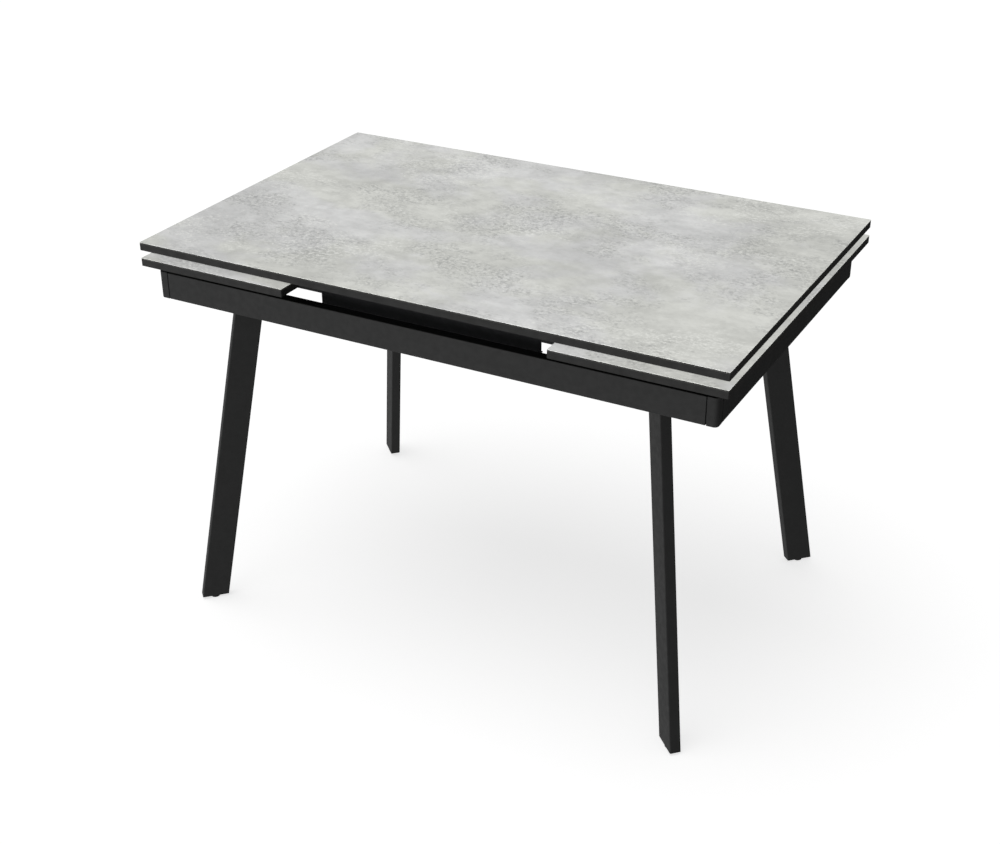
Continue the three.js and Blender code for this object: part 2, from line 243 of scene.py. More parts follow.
def use(piece, kind, **settings):
    """Puts a modifier on a piece and applies it."""
    bpy.ops.object.select_all(action="DESELECT")
    bpy.context.view_layer.objects.active = piece
    piece.select_set(True)
    modifier = piece.modifiers.new(kind.lower(), kind)
    for name, value in settings.items():
        setattr(modifier, name, value)
    bpy.ops.object.modifier_apply(modifier=modifier.name)


def smooth(piece):
    """Shades rounded edges smooth and keeps the flats flat."""
    bpy.ops.object.select_all(action="DESELECT")
    bpy.context.view_layer.objects.active = piece
    piece.select_set(True)
    bpy.ops.object.shade_smooth_by_angle(angle=math.radians(SHARP_ABOVE))
    use(piece, "WEIGHTED_NORMAL", keep_sharp=True)


def fit(piece, body, slot, *nodes):
    """Fixes a finished piece to its body and hides the nodes it stands for.

    All but the ceramic is lit from the rear too."""
    smooth(piece)
    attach(piece, body)
    if slot != "ceramic_top":
        metal_alone.objects.link(piece)
    if nodes:
        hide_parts(*nodes)


def material(name, roughness, specular, metallic=0.0):
    """A new material with its even values on the shader, and its Object coordinates."""
    made = bpy.data.materials.new(name)
    made.use_nodes = True
    shader = made.node_tree.nodes["Principled BSDF"]
    shader.inputs["Roughness"].default_value = roughness
    shader.inputs["Specular IOR Level"].default_value = specular
    shader.inputs["Metallic"].default_value = metallic
    place = made.node_tree.nodes.new("ShaderNodeTexCoord").outputs["Object"]
    return made, shader, place


def node(made, kind, sockets, **settings):
    """Adds a node. A socket is given a value, or the output that feeds it."""
    added = made.node_tree.nodes.new(kind)
    for name, value in settings.items():
        setattr(added, name, value)
    for name, value in sockets.items():
        if isinstance(value, bpy.types.NodeSocket):
            made.node_tree.links.new(value, added.inputs[name])
        else:
            added.inputs[name].default_value = value
    return added


def clouds(made, place, scale, detail=2.0, roughness=0.5, distortion=0.0):
    """Noise with clouds of about 1 / scale metres, broken up by detail."""
    return node(made, "ShaderNodeTexNoise", {"Vector": place, "Scale": scale, "Detail": detail,
                "Roughness": roughness, "Distortion": distortion}).outputs["Fac"]


def spread(made, value, from_low, from_high, to_low=0.0, to_high=1.0):
    """Stretches part of a value's range over another range, with soft ends."""
    return node(made, "ShaderNodeMapRange", {"Value": value, "From Min": from_low,
                "From Max": from_high, "To Min": to_low, "To Max": to_high},
                interpolation_type="SMOOTHSTEP").outputs["Result"]


def times(made, one, other):
    """One value times another."""
    return node(made, "ShaderNodeMath", {0: one, 1: other}, operation="MULTIPLY").outputs[0]


def tinted(made, colour, amount):
    """A colour made lighter or darker by an amount."""
    return node(made, "ShaderNodeVectorMath", {0: colour[:3], "Scale": amount},
                operation="SCALE").outputs["Vector"]


def bumped(made, shader, height, strength, distance):
    """Gives the shader a relief of a certain depth from a height between 0 and 1."""
    relief = node(made, "ShaderNodeBump", {"Height": height, "Strength": strength,
                  "Distance": distance})
    made.node_tree.links.new(relief.outputs["Normal"], shader.inputs["Normal"])


board, shader, place = material("black_board", EVEN_ROUGHNESS, BOARD_SPECULAR)
mottle = spread(board, clouds(board, place, *BOARD_CLOUDS), *NOISE_MIDDLE, *BOARD_MOTTLE)
board.node_tree.links.new(tinted(board, BOARD_COLOUR, mottle), shader.inputs["Base Color"])
fibre = clouds(board, place, *BOARD_FIBRE)
gloss = spread(board, clouds(board, place, *BOARD_GLOSS_CLOUDS), *NOISE_MIDDLE,
               *BOARD_ROUGHNESS)
board.node_tree.links.new(gloss, shader.inputs["Roughness"])
bumped(board, shader, fibre, *BOARD_RELIEF)

low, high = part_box("main_top_core")
main_board = block("main_board", low, high)
bevel(main_board, lambda e: runs(e, 2), BOARD_CORNER, steps=4)
bevel(main_board, lambda e: middle(e).z < low.z + NEAR, BOARD_ARRIS, steps=2)
main_board.data.materials.append(board)
fit(main_board, "frame", "board_black", "main_top_core")


# ---------------------------------------------------------------- main top ceramic sheet
# A 3 mm sheet of fired ceramic bonded on the board, with a matt stone-look glaze in warm
# and cool greys. Its upper arris is ground, and its sides are lacquered black with the board.
SHEET_ARRIS = 0.0003
WARM_GREY = (0.470, 0.474, 0.448, 1)
COOL_GREY = (0.480, 0.482, 0.478, 1)
GLAZE_DARK = (0.190, 0.193, 0.190, 1)
GLAZE_LIGHT = (0.650, 0.655, 0.625, 1)
STONE_STRETCH = (0.75, 1.0, 1.0)
STONE_ZONES = (4, 6, 0.6, 0.3)
ZONE_EDGE = (0.44, 0.56)
DRIFT_CLOUDS = (6, 12, 0.72, 0.2)
DRIFT_EDGE = (0.32, 0.68)
DRIFT_SHADE = (0.87, 1.12)
PATCH_CLOUDS = (48, 6, 0.65)
PATCH_EDGE = (0.38, 0.62)
PATCH_SHADE = (0.955, 1.045)
ROUGH_PATCH_OFFSET = (3.1, 1.7, 0.4)
ROUGH_CLOUDS = (7, 12, 0.72)
ROUGH_EDGE = (0.46, 0.60)
ROUGH_DARKENING = 0.13
LIGHT_PATCH_OFFSET = (7.3, 5.2, 0.9)
LIGHT_CLOUDS = (5, 12, 0.74)
LIGHT_EDGE = (0.50, 0.62)
LIGHT_IN_ROUGH = 0.7
GRAIN_STEP = (0.37, 0.21, 0)
DARK_GRAIN = (190, 6, 0.75)
LIGHT_GRAIN = (170, 6, 0.75)
GRAIN_EDGE = (0.46, 0.60)
DARK_SPECKS = 0.55
LIGHT_SPECKS = 0.60
GLAZE_SPECULAR = 0.35
GLAZE_ROUGHNESS = (0.42, 0.58)
GLAZE_GLOSS_CLOUDS = (30, 5)
GLAZE_PITS = (420, 5, 0.65)
GLAZE_RELIEF = (0.25, 0.0004)
LACQUER_CLOUDS = (25, 5, 0.6)
LACQUER_PEEL = (1100, 3)
LACQUER_RELIEF = (0.15, 0.0002)


def moved(made, place, offset, scale=(1, 1, 1)):
    """Coordinates moved and stretched, so that two noises don't fall together."""
    return node(made, "ShaderNodeMapping", {"Vector": place, "Location": offset,
                "Scale": scale}).outputs["Vector"]


def mixed(made, amount, one, other):
    """A colour between two, by an amount from 0 to 1."""
    return node(made, "ShaderNodeMix", {0: amount, 6: one, 7: other},
                data_type="RGBA").outputs[2]


ceramic, shader, place = material("stone_glaze", EVEN_ROUGHNESS, GLAZE_SPECULAR)
stone = moved(ceramic, place, (0, 0, 0), STONE_STRETCH)
zones = spread(ceramic, clouds(ceramic, stone, *STONE_ZONES), *ZONE_EDGE)
ground = mixed(ceramic, zones, WARM_GREY, COOL_GREY)
drift = spread(ceramic, clouds(ceramic, stone, *DRIFT_CLOUDS), *DRIFT_EDGE, *DRIFT_SHADE)
patches = spread(ceramic, clouds(ceramic, stone, *PATCH_CLOUDS), *PATCH_EDGE, *PATCH_SHADE)
shade = times(ceramic, drift, patches)
ground = node(ceramic, "ShaderNodeVectorMath", {0: ground, "Scale": shade},
              operation="SCALE").outputs["Vector"]
rough_place = moved(ceramic, place, ROUGH_PATCH_OFFSET, STONE_STRETCH)
rough_areas = spread(ceramic, clouds(ceramic, rough_place, *ROUGH_CLOUDS), *ROUGH_EDGE)
light_place = moved(ceramic, place, LIGHT_PATCH_OFFSET, STONE_STRETCH)
light_areas = spread(ceramic, clouds(ceramic, light_place, *LIGHT_CLOUDS), *LIGHT_EDGE)
dark_grains = spread(ceramic, clouds(ceramic, rough_place, *DARK_GRAIN), *GRAIN_EDGE)
beside = moved(ceramic, rough_place, GRAIN_STEP)
light_grains = spread(ceramic, clouds(ceramic, beside, *LIGHT_GRAIN), *GRAIN_EDGE)
dark_specks = times(ceramic, times(ceramic, rough_areas, dark_grains), DARK_SPECKS)
light_in_rough = times(ceramic, rough_areas, LIGHT_IN_ROUGH)
light_share = node(ceramic, "ShaderNodeMath", {0: light_in_rough, 1: light_areas},
                   operation="MAXIMUM").outputs[0]
light_specks = times(ceramic, times(ceramic, light_share, light_grains), LIGHT_SPECKS)
face = mixed(ceramic, times(ceramic, rough_areas, ROUGH_DARKENING), ground, GLAZE_DARK)
face = mixed(ceramic, dark_specks, face, GLAZE_DARK)
face = mixed(ceramic, light_specks, face, GLAZE_LIGHT)
ceramic.node_tree.links.new(face, shader.inputs["Base Color"])
gloss = spread(ceramic, clouds(ceramic, stone, *GLAZE_GLOSS_CLOUDS), *NOISE_MIDDLE,
               *GLAZE_ROUGHNESS)
ceramic.node_tree.links.new(gloss, shader.inputs["Roughness"])
bumped(ceramic, shader, clouds(ceramic, place, *GLAZE_PITS), *GLAZE_RELIEF)

lacquer, shader, place = material("edge_lacquer", EVEN_ROUGHNESS, BOARD_SPECULAR)
mottle = spread(lacquer, clouds(lacquer, place, *LACQUER_CLOUDS), *NOISE_MIDDLE, *BOARD_MOTTLE)
lacquer.node_tree.links.new(tinted(lacquer, BOARD_COLOUR, mottle), shader.inputs["Base Color"])
bumped(lacquer, shader, clouds(lacquer, place, *LACQUER_PEEL), *LACQUER_RELIEF)


def sheet(name, node_name):
    """A ceramic sheet with rounded corners, a ground arris and lacquered sides."""
    low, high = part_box(node_name)
    piece = block(name, low, high)
    bevel(piece, lambda e: runs(e, 2), BOARD_CORNER, steps=4)
    bevel(piece, lambda e: middle(e).z > high.z - NEAR, SHEET_ARRIS, steps=2)
    piece.data.materials.append(ceramic)
    piece.data.materials.append(lacquer)
    pick(piece, "FACE", lambda f: abs(f.normal.z) < 1 - FACING)
    piece.active_material_index = 1
    bpy.ops.object.material_slot_assign()
    done()
    ceramic_alone.objects.link(piece)
    return piece


main_sheet = sheet("main_sheet", "main_top_ceramic")
fit(main_sheet, "frame", "ceramic_top", "main_top_ceramic")


# ---------------------------------------------------------------- leaves
# Two leaves of the same sandwich as the main top, 300 mm long and as wide as the top. They
# lie 14.5 mm under its ends, each screwed to its brackets, and slide out with them.
for end in ("left", "right"):
    low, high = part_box(end + "_leaf_core")
    leaf_board = block(end + "_leaf_board", low, high)
    bevel(leaf_board, lambda e: runs(e, 2), BOARD_CORNER, steps=4)
    bevel(leaf_board, lambda e: middle(e).z < low.z + NEAR, BOARD_ARRIS, steps=2)
    leaf_board.data.materials.append(board)
    fit(leaf_board, end + "_leaf", "board_black", end + "_leaf_core")
    leaf_sheet = sheet(end + "_leaf_sheet", end + "_leaf_ceramic")
    fit(leaf_sheet, end + "_leaf", "ceramic_top", end + "_leaf_ceramic")


# ---------------------------------------------------------------- apron tubes
# Four 50 x 20 mm steel tubes with 2 mm walls, butted on the corner pieces and powder-coated
# black in a fine texture. The end ones are notched where the slide bars pass through.
TUBE_WALL = 0.002
TUBE_CORNER = 0.0015
COAT_COLOUR = (0.0078, 0.0080, 0.0079, 1)
COAT_MOTTLE = (0.90, 1.10)
COAT_SHEEN = (0.48, 0.57)
COAT_SPECULAR = 0.45
COAT_CLOUDS = (30, 5, 0.6)
COAT_GLOSS_CLOUDS = (90, 4)
COARSE_PEEL = (380, 2, 0.5)
FINE_PEEL = (1500, 3, 0.6)
FINE_PEEL_SHARE = 0.5
COAT_RELIEF = (0.35, 0.0003)
SLIVER = 1e-6
NOTCH_LOW = 0.6607
NOTCH_OUTER = 0.248
NOTCH_INNER = 0.186
NOTCH_PAST = 0.010


def coated(name, colour, sheen):
    """Powder coat: a dark base with drifts, fine orange peel and an uneven sheen."""
    made, shader, place = material(name, EVEN_ROUGHNESS, COAT_SPECULAR)
    mottle = spread(made, clouds(made, place, *COAT_CLOUDS), *NOISE_MIDDLE, *COAT_MOTTLE)
    made.node_tree.links.new(tinted(made, colour, mottle), shader.inputs["Base Color"])
    gloss = spread(made, clouds(made, place, *COAT_GLOSS_CLOUDS), *NOISE_MIDDLE, *sheen)
    made.node_tree.links.new(gloss, shader.inputs["Roughness"])
    coarse = clouds(made, place, *COARSE_PEEL)
    fine = times(made, clouds(made, place, *FINE_PEEL), FINE_PEEL_SHARE)
    peel = node(made, "ShaderNodeMath", {0: coarse, 1: fine}, operation="ADD")
    bumped(made, shader, peel.outputs[0], *COAT_RELIEF)
    return made


def hollow(piece, ends, wall):
    """Bores a tube from end face to end face, leaving a wall."""
    pick(piece, "FACE", ends)
    bpy.ops.mesh.inset(thickness=wall, use_individual=True)
    bpy.ops.mesh.bridge_edge_loops()
    done()


def tube(name, low, high, axis, wall, corner):
    """A rectangular tube along an axis, open at both ends, with rounded long edges."""
    piece = block(name, low, high)
    centre = (Vector(low) + Vector(high)) / 2
    half = (Vector(high) - Vector(low)) / 2
    hollow(piece, lambda f: abs(f.normal[axis]) > FACING, wall)
    across = [i for i in range(3) if i != axis]
    bevel(piece, lambda e: runs(e, axis) and all(
        abs(abs(middle(e)[i] - centre[i]) - half[i]) < VERY_NEAR for i in across),
        corner, steps=3)
    return piece


def combine(piece, tool, how):
    """Cuts a tool out of a piece, or joins it on, then clears away tool and slivers."""
    use(piece, "BOOLEAN", operation=how, solver="EXACT", object=tool)
    bpy.data.objects.remove(tool)
    pick(piece, "FACE", lambda f: True)
    bpy.ops.mesh.dissolve_degenerate(threshold=SLIVER)
    done()


coat = coated("powder_coat", COAT_COLOUR, COAT_SHEEN)
for side in ("front", "rear"):
    low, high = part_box("apron_" + side)
    apron = tube("apron_tube_" + side, low, high, 0, TUBE_WALL, TUBE_CORNER)
    apron.data.materials.append(coat)
    fit(apron, "frame", "steel_black", "apron_" + side)
for end in ("left", "right"):
    low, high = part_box("apron_" + end)
    apron = tube("apron_tube_" + end, low, high, 1, TUBE_WALL, TUBE_CORNER)
    for near, far in ((-NOTCH_OUTER, -NOTCH_INNER), (NOTCH_INNER, NOTCH_OUTER)):
        notch = block("notch", (low.x - NOTCH_PAST, near, NOTCH_LOW),
                      (high.x + NOTCH_PAST, far, high.z + NOTCH_PAST))
        combine(apron, notch, "DIFFERENCE")
    apron.data.materials.append(coat)
    fit(apron, "frame", "steel_black", "apron_" + end)


# ---------------------------------------------------------------- corner pieces
# Moulded corners, rounded outside, that close the frame. A spigot is pushed into each of
# the two tubes that meet there, and the body stands off their ends, which shows as a groove.
CORNER_ROUND = 0.008
CORNER_STEPS = 8
CORNER_RIM = 0.0007
SPIGOT_WALL = 0.0023
SPIGOT_LENGTH = 0.028
SPIGOT_LEAST = 0.0004
SEAM_BREAK = 0.0016


def grow(piece, wanted, step, margin):
    """Insets the wanted faces and draws them out by a step."""
    pick(piece, "FACE", wanted)
    bpy.ops.mesh.inset(thickness=margin, use_individual=True)
    bpy.ops.mesh.extrude_region_move(TRANSFORM_OT_translate={"value": step})
    done()


def mirrored(piece, name, flip, move=(0, 0, 0)):
    """A copy with its own mesh, moved and mirrored across the table's middle."""
    bpy.ops.object.select_all(action="DESELECT")
    twin = piece.copy()
    twin.data = piece.data.copy()
    twin.name = name
    bpy.context.scene.collection.objects.link(twin)
    pick(twin, "FACE", lambda f: True)
    bpy.ops.transform.translate(value=move)
    bpy.ops.transform.resize(value=flip, center_override=(0, 0, 0))
    bpy.ops.mesh.normals_make_consistent(inside=False)
    done()
    return twin


CORNERS = (("front_right", (1, 1, 1)), ("front_left", (-1, 1, 1)),
           ("rear_right", (1, -1, 1)), ("rear_left", (-1, -1, 1)))

right_low, right_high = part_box("apron_right")
front_low, front_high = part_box("apron_front")
low = (front_high.x + SEAM_BREAK, front_low.y, front_low.z)
high = (right_high.x, right_low.y - SEAM_BREAK, front_high.z)
corner = block("corner_piece_front_right", low, high)
bevel(corner, lambda e: runs(e, 2) and middle(e).x > high[0] - NEAR
      and middle(e).y < low[1] + NEAR, CORNER_ROUND, CORNER_STEPS)
bevel(corner, lambda e: min(abs(middle(e).z - low[2]), abs(middle(e).z - high[2])) < VERY_NEAR
      or (runs(e, 2) and (middle(e).x < low[0] + NEAR or middle(e).y > high[1] - NEAR)),
      CORNER_RIM, steps=2)
grow(corner, lambda f: f.normal.x < -FACING and f.calc_area() > SPIGOT_LEAST,
     (-SPIGOT_LENGTH, 0, 0), SPIGOT_WALL)
grow(corner, lambda f: f.normal.y > FACING and middle(f).y > high[1] - NEAR
     and f.calc_area() > SPIGOT_LEAST, (0, SPIGOT_LENGTH, 0), SPIGOT_WALL)
corner.data.materials.append(coat)
corners = {"front_right": corner}
for place_name, flip in CORNERS[1:]:
    corners[place_name] = mirrored(corner, "corner_piece_" + place_name, flip)
for place_name, piece in corners.items():
    fit(piece, "frame", "steel_black", "corner_" + place_name)


# ---------------------------------------------------------------- legs
# Four 50 x 20 mm steel tubes, set across the corners at 45 degrees and splayed outwards,
# cut level at head and foot, and powder-coated with the frame. Each head is welded to a plate.
LEG_LONG = 0.0509
LEG_THIN = 0.020
LEG_CORNER = 0.002
LEG_HEAD = (0.3975, -0.2460)
LEG_FOOT = (0.4820, -0.3295)
LEG_TOP = 0.6287
LEG_BOTTOM = 0.0050
LEG_TURN = -45
WELD_WIDTH = 0.0035
WELD_HEIGHT = 0.0040
WELD_SUNK = 0.0003
WELD_TAPER = 0.90
WELD_ROUND = 0.004
WELD_CUTS = 5
WELD_ROUGHNESS = 0.0004
WELD_SEED = 4

leg_outwards = Vector((LEG_FOOT[0] - LEG_HEAD[0], LEG_FOOT[1] - LEG_HEAD[1], 0))
LEG_SLOPE = leg_outwards / (LEG_TOP - LEG_BOTTOM)


def leaning_block(name, long, thin, low_z, high_z):
    """A block with level ends that stands across the corner and follows the leg's lean."""
    height = high_z - low_z
    head = Vector((*LEG_HEAD, LEG_TOP)) + LEG_SLOPE * (LEG_TOP - high_z)
    bpy.ops.object.select_all(action="DESELECT")
    bpy.ops.mesh.primitive_cube_add(size=1, location=(head.x, head.y, low_z + height / 2),
                                    rotation=(0, 0, math.radians(LEG_TURN)),
                                    scale=(long, thin, height))
    piece = bpy.context.object
    piece.name = name
    bpy.ops.object.transform_apply()
    pick(piece, "FACE", lambda f: f.normal.z < -FACING)
    bpy.ops.transform.translate(value=LEG_SLOPE * height)
    done()
    return piece


def upright(edge):
    """Whether an edge runs up the leg."""
    return abs(edge.verts[1].co.z - edge.verts[0].co.z) > 10 * NEAR


leg = leaning_block("leg_tube_front_right", LEG_LONG, LEG_THIN, LEG_BOTTOM, LEG_TOP)
bevel(leg, upright, LEG_CORNER, steps=4)
hollow(leg, lambda f: abs(f.normal.z) > FACING, TUBE_WALL)
leg.data.materials.append(coat)

weld = leaning_block("weld_front_right", LEG_LONG + 2 * WELD_WIDTH, LEG_THIN + 2 * WELD_WIDTH,
                     LEG_TOP - WELD_HEIGHT, LEG_TOP + WELD_SUNK)
pick(weld, "FACE", lambda f: f.normal.z < -FACING)
bpy.ops.transform.resize(value=(WELD_TAPER, WELD_TAPER, 1))
done()
bevel(weld, upright, WELD_ROUND, steps=3)
pick(weld, "FACE", lambda f: abs(f.normal.z) < FACING)
bpy.ops.mesh.subdivide(number_cuts=WELD_CUTS)
bpy.ops.transform.vertex_random(offset=WELD_ROUGHNESS, seed=WELD_SEED)
done()
weld.data.materials.append(coat)

for place_name, flip in CORNERS:
    first = place_name == "front_right"
    piece = leg if first else mirrored(leg, "leg_tube_" + place_name, flip)
    fit(piece, "frame", "steel_black", "leg_" + place_name)
    bead = weld if first else mirrored(weld, "weld_" + place_name, flip)
    fit(bead, "frame", "steel_black")


# ---------------------------------------------------------------- leg plates
# Flat 4 mm steel plates inside the frame's corners, with the inner corner sheared off. They
# are welded to both aprons and carry the legs.
PLATE_SHEARED = 0.026
PLATE_ARRIS = 0.0005

low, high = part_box("leg_plate_front_right")
plate = block("corner_plate_front_right", low, high)
bevel(plate, lambda e: runs(e, 2) and middle(e).x < low.x + NEAR
      and middle(e).y > high.y - NEAR, PLATE_SHEARED, steps=1)
bevel(plate, lambda e: not runs(e, 2), PLATE_ARRIS, steps=2)
plate.data.materials.append(coat)
for place_name, flip in CORNERS:
    first = place_name == "front_right"
    piece = plate if first else mirrored(plate, "corner_plate_" + place_name, flip)
    fit(piece, "frame", "steel_black", "leg_plate_" + place_name)


# ---------------------------------------------------------------- foot plugs
# Moulded nylon plugs that close the legs' feet, with a shallow recess round the bore that
# takes the glide. They are pressed in flush with the tube's end.
PLUG_LONG = 0.0463
PLUG_THIN = 0.0154
PLUG_TOP = 0.035
PLUG_ROUND = 0.001
PLUG_RIM = 0.0022
PLUG_RECESS = 0.0012
BORE_RADIUS = 0.0043
BORE_FROM = -0.01
BORE_TO = 0.05
NYLON_COLOUR = (0.012, 0.012, 0.012, 1)
NYLON_MOTTLE = (0.85, 1.2)
NYLON_ROUGHNESS = 0.6
NYLON_SPECULAR = 0.3
NYLON_CLOUDS = (120, 4, 0.6)
NYLON_GRAIN = (2600, 2)
NYLON_RELIEF = (0.2, 0.0001)

nylon, shader, place = material("moulded_nylon", NYLON_ROUGHNESS, NYLON_SPECULAR)
mottle = spread(nylon, clouds(nylon, place, *NYLON_CLOUDS), *NOISE_MIDDLE, *NYLON_MOTTLE)
nylon.node_tree.links.new(tinted(nylon, NYLON_COLOUR, mottle), shader.inputs["Base Color"])
bumped(nylon, shader, clouds(nylon, place, *NYLON_GRAIN), *NYLON_RELIEF)


def post(name, radius, low, high, axis=2, sides=32):
    """A round bar between two points that lie along an axis."""
    low, high = Vector(low), Vector(high)
    turn = {0: (0, math.pi / 2, 0), 1: (math.pi / 2, 0, 0), 2: (0, 0, 0)}[axis]
    bpy.ops.object.select_all(action="DESELECT")
    bpy.ops.mesh.primitive_cylinder_add(vertices=sides, radius=radius,
                                        depth=(high - low).length,
                                        location=(low + high) / 2, rotation=turn)
    bpy.context.object.name = name
    bpy.ops.object.transform_apply()
    return bpy.context.object


plug = leaning_block("tube_plug_front_right", PLUG_LONG, PLUG_THIN, LEG_BOTTOM, PLUG_TOP)
bevel(plug, upright, PLUG_ROUND, steps=2)
grow(plug, lambda f: f.normal.z < -FACING, (0, 0, PLUG_RECESS), PLUG_RIM)
foot = Vector((*LEG_FOOT, 0))
bore = post("bore", BORE_RADIUS, (*LEG_FOOT, BORE_FROM), (*LEG_FOOT, BORE_TO))
combine(plug, bore, "DIFFERENCE")
plug.data.materials.append(nylon)
for place_name, flip in CORNERS:
    first = place_name == "front_right"
    piece = plug if first else mirrored(plug, "tube_plug_" + place_name, flip)
    fit(piece, "frame", "nylon_black", "foot_plug_" + place_name)


# ---------------------------------------------------------------- levelling glides
# Round nylon pads moulded on a threaded stem that screws up into the plug. The pad's lower
# rim is rounded so that it slides on the floor.
PAD_RADIUS = 0.009
PAD_HEIGHT = 0.0045
PAD_ROUND = 0.0014
STEM_RADIUS = 0.0040
STEM_TOP = 0.0285
THREAD_PITCH = 0.0015
THREAD_DEPTH = 0.90
PAD_TOP_LEAST = 1e-5

glide = post("foot_glide_front_right", PAD_RADIUS, foot, foot + Vector((0, 0, PAD_HEIGHT)))
bevel(glide, lambda e: middle(e).z < NEAR, PAD_ROUND, steps=3)
bevel(glide, lambda e: middle(e).z > PAD_HEIGHT - NEAR, PAD_ROUND / 3, steps=2)
pick(glide, "FACE", lambda f: f.normal.z > FACING and f.calc_area() > PAD_TOP_LEAST)
bpy.ops.mesh.inset(thickness=PAD_RADIUS - PAD_ROUND / 3 - STEM_RADIUS)
for turn in range(int((STEM_TOP - PAD_HEIGHT) / THREAD_PITCH)):
    for scale in (THREAD_DEPTH, 1 / THREAD_DEPTH):
        bpy.ops.mesh.extrude_region_move(
            TRANSFORM_OT_translate={"value": (0, 0, THREAD_PITCH / 2)})
        bpy.ops.transform.resize(value=(scale, scale, 1), center_override=(foot.x, foot.y, 0))
done()
glide.data.materials.append(nylon)
for place_name, flip in CORNERS:
    first = place_name == "front_right"
    piece = glide if first else mirrored(glide, "foot_glide_" + place_name, flip)
    fit(piece, "glide_" + place_name + "_body", "nylon_black", "glide_" + place_name)


# ---------------------------------------------------------------- bridge beams and screws
# Two 40 x 30 mm tubes across the frame, welded on the guide rails. They carry the main top,
# which is held down on them by button-head screws from below.
SCREW_HEAD = 0.0045
SCREW_HEIGHT = 0.0022
SCREW_ROUND = 0.0012
SOCKET_RADIUS = 0.0021
SOCKET_DEPTH = 0.0012
SCREW_SIDES = 24
SOCKET_SIDES = 6
BEAM_SCREWS = (-0.19, 0.0, 0.19)
ZINC_COLOUR = (0.50, 0.50, 0.51, 1)
ZINC_SPECULAR = 0.5
ZINC_ROUGHNESS = (0.28, 0.46)
SPANGLE_CLOUDS = (55, 4, 0.6)
SPANGLE_SHADE = (0.82, 1.12)
DRAW_STRETCH = (6, 900, 900)
DRAW_CLOUDS = (1.0, 3)
DRAW_SHADE = (0.93, 1.05)
SHINE_CLOUDS = (120, 4)
ZINC_RELIEF = (0.12, 0.0001)


def plated(name, colour):
    """Bright zinc: a metal with cloudy spangle, faint draw lines and an uneven shine."""
    made, shader, place = material(name, EVEN_ROUGHNESS, ZINC_SPECULAR, metallic=1.0)
    cloudy = spread(made, clouds(made, place, *SPANGLE_CLOUDS), *NOISE_MIDDLE, *SPANGLE_SHADE)
    drawn = clouds(made, moved(made, place, (0, 0, 0), DRAW_STRETCH), *DRAW_CLOUDS)
    shade = times(made, cloudy, spread(made, drawn, *NOISE_MIDDLE, *DRAW_SHADE))
    made.node_tree.links.new(tinted(made, colour, shade), shader.inputs["Base Color"])
    gloss = spread(made, clouds(made, place, *SHINE_CLOUDS), *NOISE_MIDDLE, *ZINC_ROUGHNESS)
    made.node_tree.links.new(gloss, shader.inputs["Roughness"])
    bumped(made, shader, drawn, *ZINC_RELIEF)
    return made


zinc = plated("zinc_plate", ZINC_COLOUR)
screw_model = post("screw_model", SCREW_HEAD, (0, 0, 0), (0, 0, SCREW_HEIGHT),
                   sides=SCREW_SIDES)
bevel(screw_model, lambda e: middle(e).z < VERY_NEAR, SCREW_ROUND, steps=3)
socket = post("socket", SOCKET_RADIUS, (0, 0, -SOCKET_DEPTH), (0, 0, SOCKET_DEPTH),
              sides=SOCKET_SIDES)
combine(screw_model, socket, "DIFFERENCE")
screw_model.data.materials.append(zinc)


def screw(name, place, body):
    """A screw with its head's top at a place, driven upwards."""
    bpy.ops.object.select_all(action="DESELECT")
    piece = screw_model.copy()
    piece.data = screw_model.data.copy()
    piece.name = name
    bpy.context.scene.collection.objects.link(piece)
    pick(piece, "FACE", lambda f: True)
    bpy.ops.transform.translate(value=(place[0], place[1], place[2] - SCREW_HEIGHT))
    done()
    fit(piece, body, "steel_zinc")


for end in ("left", "right"):
    low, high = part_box("bridge_beam_" + end)
    beam = tube("cross_beam_" + end, low, high, 1, TUBE_WALL, TUBE_CORNER)
    beam.data.materials.append(coat)
    fit(beam, "frame", "steel_black", "bridge_beam_" + end)
    for number, y in enumerate(BEAM_SCREWS):
        screw(f"beam_screw_{end}_{number}", ((low.x + high.x) / 2, y, low.z), "frame")


# ---------------------------------------------------------------- fascias
# Two folded 2 mm steel sheets between the leaves, one behind each long apron, in a smoother
# coat, painted a lighter grey than the frame's black to stand in for the light they catch.
# Their lips are turned inwards and screwed to the bridge beams, and they hide the rails.
FASCIA_WALL = 0.002
FOLD_RADIUS = 0.0025
# Painted light: a grey lighter than the frame's black, standing in for the light the fascias
# catch
FASCIA_PAINTED_LIGHT_COLOUR = (0.030, 0.031, 0.033, 1)
FASCIA_SHEEN = (0.30, 0.40)


def folded(name, ends, path, wall, radius):
    """A folded sheet along X. Its outer face follows a path in Y and Z, thickened inwards."""
    bpy.ops.object.select_all(action="DESELECT")
    first, second = Vector((0, *path[0])), Vector((0, *path[1]))
    lean = math.atan2(second.z - first.z, second.y - first.y)
    place = (first + second) / 2
    place.x = sum(ends) / 2
    bpy.ops.mesh.primitive_plane_add(size=1, location=place, rotation=(lean, 0, 0))
    piece = bpy.context.object
    piece.name = name
    piece.scale = (ends[1] - ends[0], (second - first).length, 1)
    bpy.ops.object.transform_apply()
    for here, there in zip(path[1:], path[2:]):
        pick(piece, "EDGE", lambda e: runs(e, 0) and abs(middle(e).y - here[0]) < VERY_NEAR
             and abs(middle(e).z - here[1]) < VERY_NEAR)
        step = (0, there[0] - here[0], there[1] - here[1])
        bpy.ops.mesh.extrude_region_move(TRANSFORM_OT_translate={"value": step})
        done()
    bevel(piece, lambda e: runs(e, 0) and any(
        abs(middle(e).y - y) < VERY_NEAR and abs(middle(e).z - z) < VERY_NEAR
        for y, z in path[1:-1]), radius, steps=4)
    use(piece, "SOLIDIFY", thickness=wall, offset=1)
    pick(piece, "FACE", lambda f: True)
    bpy.ops.mesh.normals_make_consistent(inside=False)
    done()
    return piece


